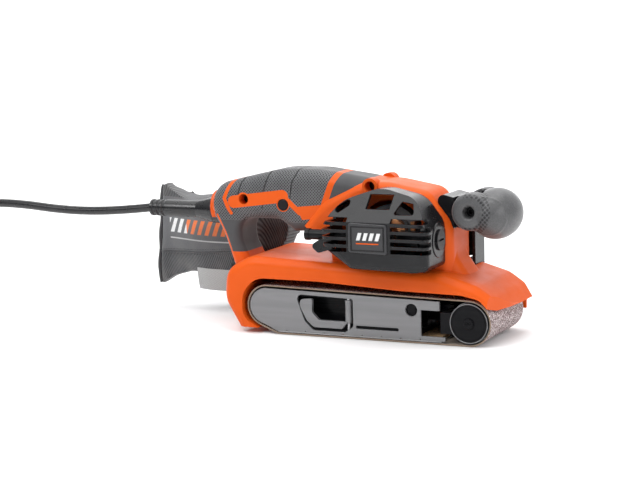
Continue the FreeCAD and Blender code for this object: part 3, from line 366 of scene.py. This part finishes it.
def grit():
    """Aluminium oxide grains bonded on cloth: dark resin, pink-grey grains, and near-white grains that are
    painted glints on the grain facets.
    """
    made, tree, shader = surface("grit", **{"Specular IOR Level": 0.6})
    at = place(tree)
    grain = cells(tree, at, 1250, 1.0, "Color")
    tone = axes(tree, grain)[0]
    # The near-white top stop is painted highlight: glints on grain facets.
    colour = ramp(tree, tone, (0.0, (0.055, 0.035, 0.035)), (0.35, (0.20, 0.135, 0.135)),
                  (0.7, (0.42, 0.32, 0.32)), (0.93, (0.85, 0.78, 0.77)))
    worn = noise(tree, place(tree, (5, 40, 5)), 1.0, 3)
    colour = mixed(tree, span(tree, worn, 0.4, 0.8, 0.0, 0.35), colour, (0.30, 0.22, 0.215))
    peak = span(tree, cells(tree, at, 1250), 0.0, 0.6, 1.0, 0.0)
    height = maths(tree, "ADD", peak, maths(tree, "MULTIPLY", tone, 0.8))
    wire(tree, shader, Base_Color=colour, Roughness=span(tree, tone, 0, 1, 0.85, 0.4),
         Normal=bump(tree, height, 0.00035, 0.9))
    return made


def waves(tree, value, rate):
    return maths(tree, "SINE", maths(tree, "MULTIPLY", value, rate))


def weave(name, dark, light, pitch):
    """Plain weave in object space, on every face direction."""
    made, tree, shader = surface(name, **{"Sheen Weight": 0.3, "Sheen Roughness": 0.5, "Roughness": 0.8})

    def threads(flat):
        u, v, _ = axes(tree, flat)
        k = math.pi / pitch
        return span(tree, product(tree, waves(tree, u, k), waves(tree, v, k)), -1, 1)
    woven = sided(tree, place(tree), threads)
    wire(tree, shader, Base_Color=ramp(tree, woven, (0.2, dark), (0.8, light)),
         Normal=bump(tree, woven, 0.0002, 0.8))
    return made


def bag_cloth():
    """Ribbed polyester, with a smooth paler panel on the upper near side that carries plain stripes."""
    made, tree, shader = surface("bag_cloth", **{"Sheen Weight": 0.35, "Sheen Roughness": 0.45})
    panel_top, panel_front, side_facing = 0.0965, -0.146, -0.25
    print_rear, print_front, orange_from = -0.2225, -0.148, -0.2015
    bar_pitch, bar_lean, bar_low, bar_high, bar_fade = 0.0082, 0.45, 0.0655, 0.0783, 0.0003
    rule_low, rule_high, rule_fade = 0.0600, 0.0612, 0.0001
    rib_pitch, rib_lean, cross_pitch, fine_rate = 0.0019, 0.35, 0.0011, 5200
    at = place(tree)
    x, _, z = axes(tree, at)
    facing = axes(tree, add(tree, "TexCoord").outputs["Normal"])[1]
    seam_rise = maths(tree, "MULTIPLY", maths(tree, "SUBTRACT", x, SEAM_X), SEAM_RISE)
    seam_z = maths(tree, "ADD", SEAM_Z, seam_rise)
    panel = product(tree, maths(tree, "LESS_THAN", facing, side_facing),
                    span(tree, maths(tree, "SUBTRACT", z, seam_z), -0.0004, 0.0004),
                    maths(tree, "LESS_THAN", z, panel_top), maths(tree, "LESS_THAN", x, panel_front))
    rib = waves(tree, maths(tree, "ADD", x, maths(tree, "MULTIPLY", z, rib_lean)), 2 * math.pi / rib_pitch)
    cross = waves(tree, z, 2 * math.pi / cross_pitch)
    ribs = span(tree, maths(tree, "ADD", rib, maths(tree, "MULTIPLY", cross, 0.25)), -1.1, 1.1)
    fine = span(tree, product(tree, waves(tree, x, fine_rate), waves(tree, z, fine_rate)), -1, 1)
    # Across each rib the cloth is painted darker in the groove and lighter on the crest: painted shade and
    # painted highlight on the ribs, over the cloth's own dark grey.
    dark_cloth = ramp(tree, ribs, (0.15, (0.018, 0.018, 0.02)), (0.85, (0.085, 0.086, 0.09)))
    pale_cloth = ramp(tree, fine, (0.1, (0.075, 0.077, 0.081)), (0.9, (0.13, 0.132, 0.138)))
    cloth = mixed(tree, panel, dark_cloth, pale_cloth)
    leaning = maths(tree, "SUBTRACT", x, maths(tree, "MULTIPLY", z, bar_lean))
    across = maths(tree, "FRACT", maths(tree, "MULTIPLY", leaning, 1 / bar_pitch))
    reach = product(tree, maths(tree, "GREATER_THAN", x, print_rear),
                    maths(tree, "LESS_THAN", x, print_front), panel)
    stripe = product(tree, span(tree, across, 0.30, 0.34), span(tree, across, 0.86, 0.82),
                     span(tree, z, bar_low, bar_low + bar_fade),
                     span(tree, z, bar_high, bar_high - bar_fade), reach)
    rule = product(tree, span(tree, z, rule_low, rule_low + rule_fade),
                   span(tree, z, rule_high, rule_high - rule_fade), reach)
    ink = mixed(tree, maths(tree, "GREATER_THAN", x, orange_from), (0.72, 0.72, 0.72), (0.75, 0.16, 0.03))
    worn_ink = maths(tree, "MULTIPLY", stripe, span(tree, noise(tree, at, 700, 2), 0.25, 0.45, 0.6, 0.95))
    colour = mixed(tree, worn_ink, cloth, ink)
    colour = mixed(tree, maths(tree, "MULTIPLY", rule, 0.7), colour, (0.6, 0.6, 0.6))
    dusty = span(tree, noise(tree, at, 45, 5, 0.6), 0.5, 0.8, 0.0, 0.25)
    colour = mixed(tree, dusty, colour, (0.22, 0.2, 0.18))
    height = mixed(tree, panel, ribs, maths(tree, "MULTIPLY", fine, 0.35))
    wire(tree, shader, Base_Color=colour, Roughness=span(tree, ribs, 0, 1, 0.9, 0.7),
         Normal=bump(tree, height, 0.00028, 0.8))
    return made


def cork():
    made, tree, shader = surface("cork", Roughness=0.9)
    at = place(tree)
    tone = axes(tree, cells(tree, at, 520, 1.0, "Color"))[0]
    colour = ramp(tree, tone, (0.0, (0.16, 0.09, 0.04)), (0.5, (0.36, 0.22, 0.11)), (1.0, (0.5, 0.33, 0.18)))
    wire(tree, shader, Base_Color=colour, Normal=bump(tree, cells(tree, at, 520), 0.0003))
    return made


def laminated():
    """Stacked electrical steel sheets."""
    made, tree, shader = surface("laminations", Metallic=0.9)
    sheets = add(tree, "TexWave", {"Vector": place(tree), "Scale": 300.0}, bands_direction="Y").outputs["Fac"]
    wire(tree, shader, Base_Color=ramp(tree, sheets, (0.2, (0.10, 0.10, 0.105)), (0.8, (0.30, 0.30, 0.31))),
         Roughness=span(tree, sheets, 0, 1, 0.6, 0.4), Normal=bump(tree, sheets, 0.0001))
    return made


def make_materials():
    orange = moulded("orange_shell", (0.59, 0.079, 0.006), (0.66, 0.092, 0.009), (0.36, 0.48), 1500, 0.00002,
                     **{"Specular IOR Level": 0.14})
    grey = moulded("grey_cover", (0.006, 0.006, 0.007), (0.011, 0.011, 0.012), (0.17, 0.29), 1300, soft=True,
                   **{"Specular IOR Level": 0.25})
    black = moulded("black_moulding", (0.005, 0.005, 0.006), (0.010, 0.010, 0.011), (0.26, 0.4), 1600,
                    **{"Specular IOR Level": 0.15})
    sheath = moulded("cord_sheath", (0.006, 0.006, 0.007), (0.012, 0.012, 0.013), (0.22, 0.34), 800)
    plate = painted("plate_paint", (0.165, 0.165, 0.17), (0.21, 0.21, 0.215),
                    **{"Metallic": 0.35, "Coat Weight": 0.2, "Coat Roughness": 0.3})
    fork = painted("fork_paint", (0.004, 0.004, 0.005), (0.009, 0.009, 0.010), (0.24, 0.36),
                   **{"Specular IOR Level": 0.09})
    lagging = moulded("lagging", (0.02, 0.02, 0.02), (0.035, 0.035, 0.035), (0.6, 0.8))
    steel = metal("machined_steel", (0.38, 0.38, 0.39), (0.55, 0.55, 0.56))
    cast = metal("die_casting", (0.36, 0.36, 0.37), (0.5, 0.5, 0.51), (0.4, 0.6), (300, 300, 300))
    copper = wound("copper_wire", (0.20, 0.06, 0.02), (0.75, 0.36, 0.18), 0.0009)
    table = {
        orange: ["housing_right", "housing_left", "belt_guard"],
        grip_rubber(): ["grip_rubber_right", "grip_rubber_left"],
        knob_rubber(): ["front_grip"],
        grey: ["drive_belt_cover", "motor_cover", "handle_bracket", "dust_port"],
        moulded("badge_plate", (0.022, 0.022, 0.024), (0.03, 0.03, 0.033), (0.3, 0.4)): ["badge"],
        black: ["trigger", "lock_button", "switch_module", "cord_clamp", "brush_caps", "brush_holders",
                "tracking_knob", "bag_collar", "cooling_fan"],
        sheath: ["strain_relief", "plug_body", "cord_coil", "cord_tube"],
        plate: ["side_plate", "tension_lever"],
        fork: ["tracking_fork", "tension_yoke", "front_axle", "belt_frame", "screws", "front_handle_bolt"],
        steel: ["steel_shoe", "bearings", "lever_pin", "countershaft", "counter_gear", "armature_pinion",
                "armature_shaft", "drive_shaft", "fork_pin", "tension_spring"],
        cast: ["gear_case", "front_roller", "front_roller_bearings", "drive_roller_core",
               "small_pulley", "large_pulley"],
        laminated(): ["field_core", "armature_core"],
        copper: ["field_coils", "armature_windings", "commutator"],
        moulded("carbon", (0.01, 0.01, 0.01), (0.02, 0.02, 0.02), (0.5, 0.7)): ["carbon_brushes"],
        metal("brass", (0.6, 0.42, 0.18), (0.78, 0.56, 0.26)): ["plug_blades"],
        lagging: ["drive_roller_rubber", "timing_belt"],
        cork(): ["cork_pad"],
        bag_cloth(): ["dust_bag"],
        grit(): ["sanding_belt"],
    }
    for material, names in table.items():
        for name in names:
            NODES[name].data.materials.clear()
            NODES[name].data.materials.append(material)
    return {
        "sheath": sheath, "orange": orange, "grit": NODES["sanding_belt"].data.materials[0],
        "bag": NODES["dust_bag"].data.materials[0], "knob": NODES["front_grip"].data.materials[0],
        "backing": weave("belt_backing", (0.16, 0.11, 0.075), (0.30, 0.22, 0.155), 0.0006),
        "binding": weave("binding_tape", (0.02, 0.02, 0.022), (0.06, 0.06, 0.064), 0.0008),
        "plate": plate,
        "ink": moulded("badge_ink", (0.62, 0.62, 0.62), (0.72, 0.72, 0.72)),
        "label": weave("blank_label", (0.20, 0.20, 0.20), (0.46, 0.46, 0.45), 0.0007),
    }


# ---- cord ----
def coil_points(start_angle, turns):
    """Turns wound clockwise in rows, out and in, each row a diameter above the last.
    The cord steps to its next turn over the last part of each one."""
    per_turn, step_from = 16, 0.84
    stretch = 1 / math.cos(math.pi / per_turn)
    order = []
    for row in range(COIL_ROWS):
        columns = range(COIL_WIDE) if row % 2 == 0 else reversed(range(COIL_WIDE))
        order += [(column, row) for column in columns]
    points = []
    for k in range(1, int(turns * per_turn) + 1):
        turn, part = divmod(k / per_turn, 1.0)
        here, after = order[min(int(turn), len(order) - 1)], order[min(int(turn) + 1, len(order) - 1)]
        t = min(1.0, max(0.0, (part - step_from) / (1 - step_from)))
        t = t * t * (3 - 2 * t)
        column, row = (a + (b - a) * t for a, b in zip(here, after))
        r = (COIL_R + ((COIL_WIDE - 1) / 2 - column) * CORD_D) * stretch
        a = start_angle - 2 * math.pi * k / per_turn
        points.append((COIL_CENTRE[0] + r * math.cos(a), COIL_CENTRE[1] + r * math.sin(a),
                       CORD_D / 2 + FLOOR_GAP + row * CORD_D))
    return points


def make_cord(materials):
    last = ROUTE[-1]
    start = math.atan2(last[1] - COIL_CENTRE[1], last[0] - COIL_CENTRE[0])
    points = ROUTE + coil_points(start, COIL_WIDE * COIL_ROWS - 0.5)
    curve = bpy.data.curves.new("power_cord", "CURVE")
    curve.dimensions = "3D"
    curve.bevel_depth, curve.bevel_resolution, curve.use_fill_caps = CORD_D / 2, 5, True
    spline = curve.splines.new("NURBS")
    spline.points.add(len(points) - 1)
    for target, p in zip(spline.points, points):
        target.co = (*p, 1)
    spline.order_u, spline.use_endpoint_u, spline.resolution_u = 3, True, 5
    curve.materials.append(materials["sheath"])
    cord = linked(bpy.data.objects.new("power_cord", curve))
    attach(cord, "housing")
    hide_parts("cord_tube", "cord_coil")
    bpy.context.view_layer.update()


# ---- mesh helpers ----
def copied(node, name):
    """A new object with its own copy of a CAD node's mesh."""
    made = linked(bpy.data.objects.new(name, NODES[node].data.copy()))
    made.matrix_world = NODES[node].matrix_world.copy()
    made.data.materials.clear()
    return made


def applied(obj):
    """Make the object's modifiers part of its mesh."""
    graph = bpy.context.evaluated_depsgraph_get()
    mesh = bpy.data.meshes.new_from_object(obj.evaluated_get(graph))
    obj.modifiers.clear()
    obj.data = mesh


def remeshed(obj, voxel):
    modifier = obj.modifiers.new("voxels", "REMESH")
    modifier.mode, modifier.voxel_size, modifier.use_smooth_shade = "VOXEL", voxel, True
    applied(obj)


def smoothed(obj, factor, steps):
    modifier = obj.modifiers.new("smooth", "SMOOTH")
    modifier.factor, modifier.iterations = factor, steps
    applied(obj)


def tube(bm, points, radius, index, sides=6, flat=1.0):
    """Sweep a circle along points, as part of a mesh."""
    rings = []
    for k, p in enumerate(points):
        along = (points[min(k + 1, len(points) - 1)] - points[max(k - 1, 0)]).normalized()
        side = along.cross(Vector((0, 1, 0)) if abs(along.y) < 0.9 else Vector((1, 0, 0))).normalized()
        up = side.cross(along)
        rings.append([bm.verts.new(p + side * (radius * math.cos(a)) + up * (radius * flat * math.sin(a)))
                      for a in (2 * math.pi * i / sides for i in range(sides))])
    faces = [bm.faces.new(rings[0]), bm.faces.new(list(reversed(rings[-1])))]
    for a, b in zip(rings, rings[1:]):
        faces += [bm.faces.new((a[i], b[i], b[(i + 1) % sides], a[(i + 1) % sides])) for i in range(sides)]
    for face in faces:
        face.material_index, face.smooth = index, True


def lofted(bm, sections, index):
    """Join superellipse rings, given as centre, half width in y, half height in z and squareness."""
    sides, rings = 40, []
    for centre, wide, high, square in sections:
        ring = []
        for a in (2 * math.pi * i / sides for i in range(sides)):
            y, z = (math.copysign(abs(part) ** (2 / square), part) for part in (math.cos(a), math.sin(a)))
            ring.append(bm.verts.new(centre + Vector((0, wide * y, high * z))))
        rings.append(ring)
    faces = [bm.faces.new(rings[0]), bm.faces.new(list(reversed(rings[-1])))]
    for a, b in zip(rings, rings[1:]):
        faces += [bm.faces.new((a[i], a[(i + 1) % sides], b[(i + 1) % sides], b[i])) for i in range(sides)]
    for face in faces:
        face.material_index, face.smooth = index, len(face.verts) == 4
    bmesh.ops.recalc_face_normals(bm, faces=bm.faces)


def piece(name, bm, *used):
    mesh = bpy.data.meshes.new(name)
    bm.to_mesh(mesh)
    bm.free()
    for material in used:
        mesh.materials.append(material)
    return linked(bpy.data.objects.new(name, mesh))


# ---- pieces that stand for plain CAD solids ----
def make_belt(materials):
    """The belt, gritted outside and bare cloth inside and at its edges."""
    belt = copied("sanding_belt", "abrasive_belt")
    belt.data.materials.append(materials["grit"])
    belt.data.materials.append(materials["backing"])
    span_between = FRONT_ROLLER - REAR_ROLLER
    for face in belt.data.polygons:
        t = min(1.0, max(0.0, (face.center - REAR_ROLLER).dot(span_between) / span_between.length_squared))
        outward = face.center - (REAR_ROLLER + span_between * t)
        outward.y = 0
        face.material_index = 0 if abs(face.normal.y) < 0.5 and face.normal.dot(outward) > 0 else 1
    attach(belt, "belt")
    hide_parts("sanding_belt")


def make_knob(materials):
    """The palm knob with its hub, web and egg blended into one moulding."""
    knob = copied("front_grip", "palm_knob")
    remeshed(knob, 0.0007)
    smoothed(knob, 0.5, 8)
    knob.data.materials.clear()
    knob.data.materials.append(materials["knob"])
    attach(knob, "front_handle")
    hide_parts("front_grip")


def inflate(bag, held):
    """Blow the bag up against its seam and collar, and stop each point after a few millimetres."""
    limit, pressure, last_step = 0.0055, 4, 20
    start = [v.co.copy() for v in bag.data.vertices]
    group = bag.vertex_groups.new(name="held")
    group.add([k for k, p in enumerate(start) if held(p)], 1.0, "REPLACE")
    cloth = bag.modifiers.new("cloth", "CLOTH")
    cloth.settings.vertex_group_mass = "held"
    cloth.settings.use_pressure = True
    cloth.settings.uniform_pressure_force = pressure
    cloth.settings.effector_weights.gravity = 0
    for step in range(1, last_step + 1):
        SCENE.frame_set(step)
    applied(bag)
    SCENE.frame_set(1)
    for before, v in zip(start, bag.data.vertices):
        moved = v.co - before
        if moved.length > limit:
            v.co = before + moved * (limit / moved.length)


def crease(bag):
    """Soft folds that run from the rear seam towards the spigot, and finer slack all over."""
    fold_height, slack_height, sunk, flat_by_seam = 0.0016, 0.0009, 0.0012, 0.02
    for v in bag.data.vertices:
        x, y, z = v.co
        folds = solid_noise.noise(Vector((x * 12, y * 18, z * 55)))
        slack = solid_noise.noise(Vector((x * 38 + 5, y * 30, z * 26)))
        free = min(1.0, max(0.0, (x - BAG_REAR) / flat_by_seam))
        v.co += v.normal * free * (fold_height * folds + slack_height * slack - sunk)


def on_bag(tree, x, z):
    """The point of the bag's near side at x and z, or None beside the bag."""
    return tree.ray_cast(Vector((x, -0.05, z)), Vector((0, 1, 0)))[0]


def sew_side(bm, tree):
    """A ridge along the side seam, between two rows of stitches."""
    rear, reach, steps, row_gap = -0.2340, 0.102, 56, 0.0022
    xs = [rear + reach * k / steps for k in range(steps + 1)]

    def line(offset):
        points = (on_bag(tree, x, SEAM_Z + (x - SEAM_X) * SEAM_RISE + offset) for x in xs)
        return [p for p in points if p is not None]

    tube(bm, line(0), 0.0009, 1, 6, 0.6)
    for offset in (-row_gap, row_gap):
        stitches = line(offset)
        for a, b in zip(stitches, stitches[1:]):
            tube(bm, [a.lerp(b, 0.15), a.lerp(b, 0.85)], 0.00028, 1, 5)


def tape_rear(bm, tree):
    """Binding tape up the rear edge: a cord each side of a thinner one."""
    bottom, height, steps, middle_y, apart = 0.0165, 0.0925, 32, 0.0545, 0.0052
    rear = []
    for k in range(steps):
        z = bottom + height * k / (steps - 1)
        hit = tree.ray_cast(Vector((-0.30, middle_y, z)), Vector((1, 0, 0)))[0]
        if hit is not None:
            rear.append(hit + Vector((-0.0008, 0.0010 * math.sin(k * 0.7), 0)))
    for side in (-1, 1):
        tube(bm, [p + Vector((0.0004, side * apart, 0)) for p in rear], 0.0016, 1, 8)
    tube(bm, rear, 0.0010, 1, 8)


def hang_label(bm, tree):
    """A small blank label that hangs from the near side and curls a little."""
    rear, width, top_z, length, proud = -0.190, 0.036, 0.0375, 0.019, 0.0006
    rows, columns = 5, 8
    grid = []
    for i in range(rows + 1):
        line = []
        for j in range(columns + 1):
            x = rear + width * j / columns
            hit = on_bag(tree, x, top_z)
            top = Vector((x, 0.030, top_z)) if hit is None else hit - Vector((0, proud, 0))
            curl = 0.0012 * math.sin(2.2 * j / columns) * i / rows
            line.append(bm.verts.new(top + Vector((0, 0.0035 * (i / rows) ** 2 - curl, -length * i / rows))))
        grid.append(line)
    for a, b in zip(grid, grid[1:]):
        for j in range(columns):
            face = bm.faces.new((a[j], a[j + 1], b[j + 1], b[j]))
            face.material_index, face.smooth = 2, True


def sew(bag):
    """Ridged side seam with its stitches, taped rear edge and a small blank label."""
    bm = bmesh.new()
    bm.from_mesh(bag.data)
    tree = BVHTree.FromBMesh(bm)
    for add_trim in (sew_side, tape_rear, hang_label):
        add_trim(bm, tree)
    bm.to_mesh(bag.data)
    bm.free()


def make_bag(materials):
    """The dust bag: shrunk, blown up between its rear seam and its collar, creased and sewn."""
    voxel, shrink, shrink_at_seam, seam_from = 0.0035, 0.003, 0.0005, -0.226
    held_behind, collar_from, collar_r = -0.2275, -0.150, 0.023
    bag = copied("dust_bag", "dust_bag_cloth")
    remeshed(bag, voxel)
    for v, outward in [(v, v.normal.copy()) for v in bag.data.vertices]:
        v.co -= outward * (shrink_at_seam if v.co.x < seam_from else shrink)
    inflate(bag, lambda p: p.x < held_behind or (
        p.x > collar_from and math.hypot(p.y - PORT_Y, p.z - PORT_Z) < collar_r))
    smoothed(bag, 0.6, 9)
    finer = bag.modifiers.new("finer", "SUBSURF")
    finer.levels = finer.render_levels = 1
    applied(bag)
    crease(bag)
    for face in bag.data.polygons:
        face.use_smooth = True
    bag.data.materials.clear()
    for name in ("bag", "binding", "label"):
        bag.data.materials.append(materials[name])
    sew(bag)
    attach(bag, "bag")
    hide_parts("dust_bag")


def make_plug(materials):
    """Moulded plug: ringed neck that swells into a squared body with two finger grooves."""
    bm = bmesh.new()

    def at(dx):
        return PLUG_AT + Vector((dx, 0, 0))

    lead_r, ring_lip, groove = CORD_D / 2, 0.0003, 0.0007
    body, waist = (0.0125, 0.0080), (0.0117, 0.0074)
    sections = [(at(-0.048), lead_r, lead_r, 2), (at(-0.022), lead_r, lead_r, 2)]
    for k in range(5):
        x, r = -0.0205 + 0.0042 * k, 0.0047 + 0.0005 * k
        for dx, grown in ((0, 0), (0.0026, ring_lip), (0.0030, -groove), (0.0039, -groove)):
            sections.append((at(x + dx), r + grown, r + grown, 2))
    sections += [(at(0.001), 0.0078, 0.0070, 2.3), (at(0.004), 0.0112, 0.0075, 3),
                 (at(0.008), 0.0124, 0.0079, 4)]
    for x in (0.012, 0.019):
        for dx, size in ((0, body), (0.0015, waist), (0.0030, waist), (0.0045, body)):
            sections.append((at(x + dx), *size, 4))
    sections += [(at(0.031), *body, 4.5), (at(0.0333), 0.0120, 0.0075, 4.5), (at(0.034), 0.0110, 0.0065, 4.5)]
    lofted(bm, sections, 0)
    plug = piece("plug_moulding", bm, materials["sheath"])
    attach(plug, "housing")
    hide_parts("plug_body")
    return plug


def make_fork_highlight_rim(materials):
    """A thin ring in the plate's light grey paint round the near end of the fork: a painted highlight along
    the fork's rim.
    """
    face_y, rim_r, wire_r, steps = -0.0384, 0.0152, 0.0004, 72
    bm = bmesh.new()
    hub = Vector((FRONT_ROLLER.x, face_y, FRONT_ROLLER.z))
    circle = [hub + Vector((math.cos(a), 0, math.sin(a))) * rim_r
              for a in (2 * math.pi * k / steps for k in range(steps + 1))]
    tube(bm, circle, wire_r, 0)
    # The ring's light grey paint is a painted highlight on the black fork's rim edge.
    rim = piece("fork_highlight_rim", bm, materials["plate"])
    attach(rim, "fork")


def make_badge_trim(materials):
    """Raised border, four slanting bars and a rule on the blank badge."""
    sunk, proud = 0.0002, 0.0005
    bm = bmesh.new()

    def bar(x0, z0, x1, z1, index, rise=0.0003, lean=0.0):
        """A raised block from corner to corner, its top moved on by lean."""
        corners = [(x0, z0), (x1, z0), (x1 + lean, z1), (x0 + lean, z1)]
        under, over = ([bm.verts.new((x, y, z)) for x, z in corners]
                       for y in (BADGE_Y + sunk, BADGE_Y - rise))
        faces = [bm.faces.new(under), bm.faces.new(list(reversed(over)))]
        faces += [bm.faces.new((under[i], over[i], over[(i + 1) % 4], under[(i + 1) % 4])) for i in range(4)]
        for face in faces:
            face.material_index = index

    x0, x1, z0, z1, w = -0.0015, 0.0265, 0.0748, 0.0940, 0.0009
    bar(x0, z0, x1, z0 + w, 0, proud)
    bar(x0, z1 - w, x1, z1, 0, proud)
    bar(x0, z0 + w, x0 + w, z1 - w, 0, proud)
    bar(x1 - w, z0 + w, x1, z1 - w, 0, proud)
    first_x, pitch, bar_width, bar_low, bar_high = 0.0032, 0.0052, 0.0030, 0.0832, 0.0890
    rule_end, rule_low, rule_high = 0.0218, 0.0802, 0.0811
    for x in (first_x + pitch * k for k in range(4)):
        bar(x, bar_low, x + bar_width, bar_high, 2, lean=0.0018)
    bar(first_x, rule_low, rule_end, rule_high, 1)
    bmesh.ops.recalc_face_normals(bm, faces=bm.faces)
    cover = NODES["motor_cover"].data.materials[0]
    trim = piece("badge_trim", bm, cover, materials["orange"], materials["ink"])
    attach(trim, "housing")


make_camera()
materials = make_materials()
plug = make_plug(materials)
make_cord(materials)
make_belt(materials)
make_knob(materials)
make_bag(materials)
make_badge_trim(materials)
make_fork_highlight_rim(materials)
make_floor()
make_light()
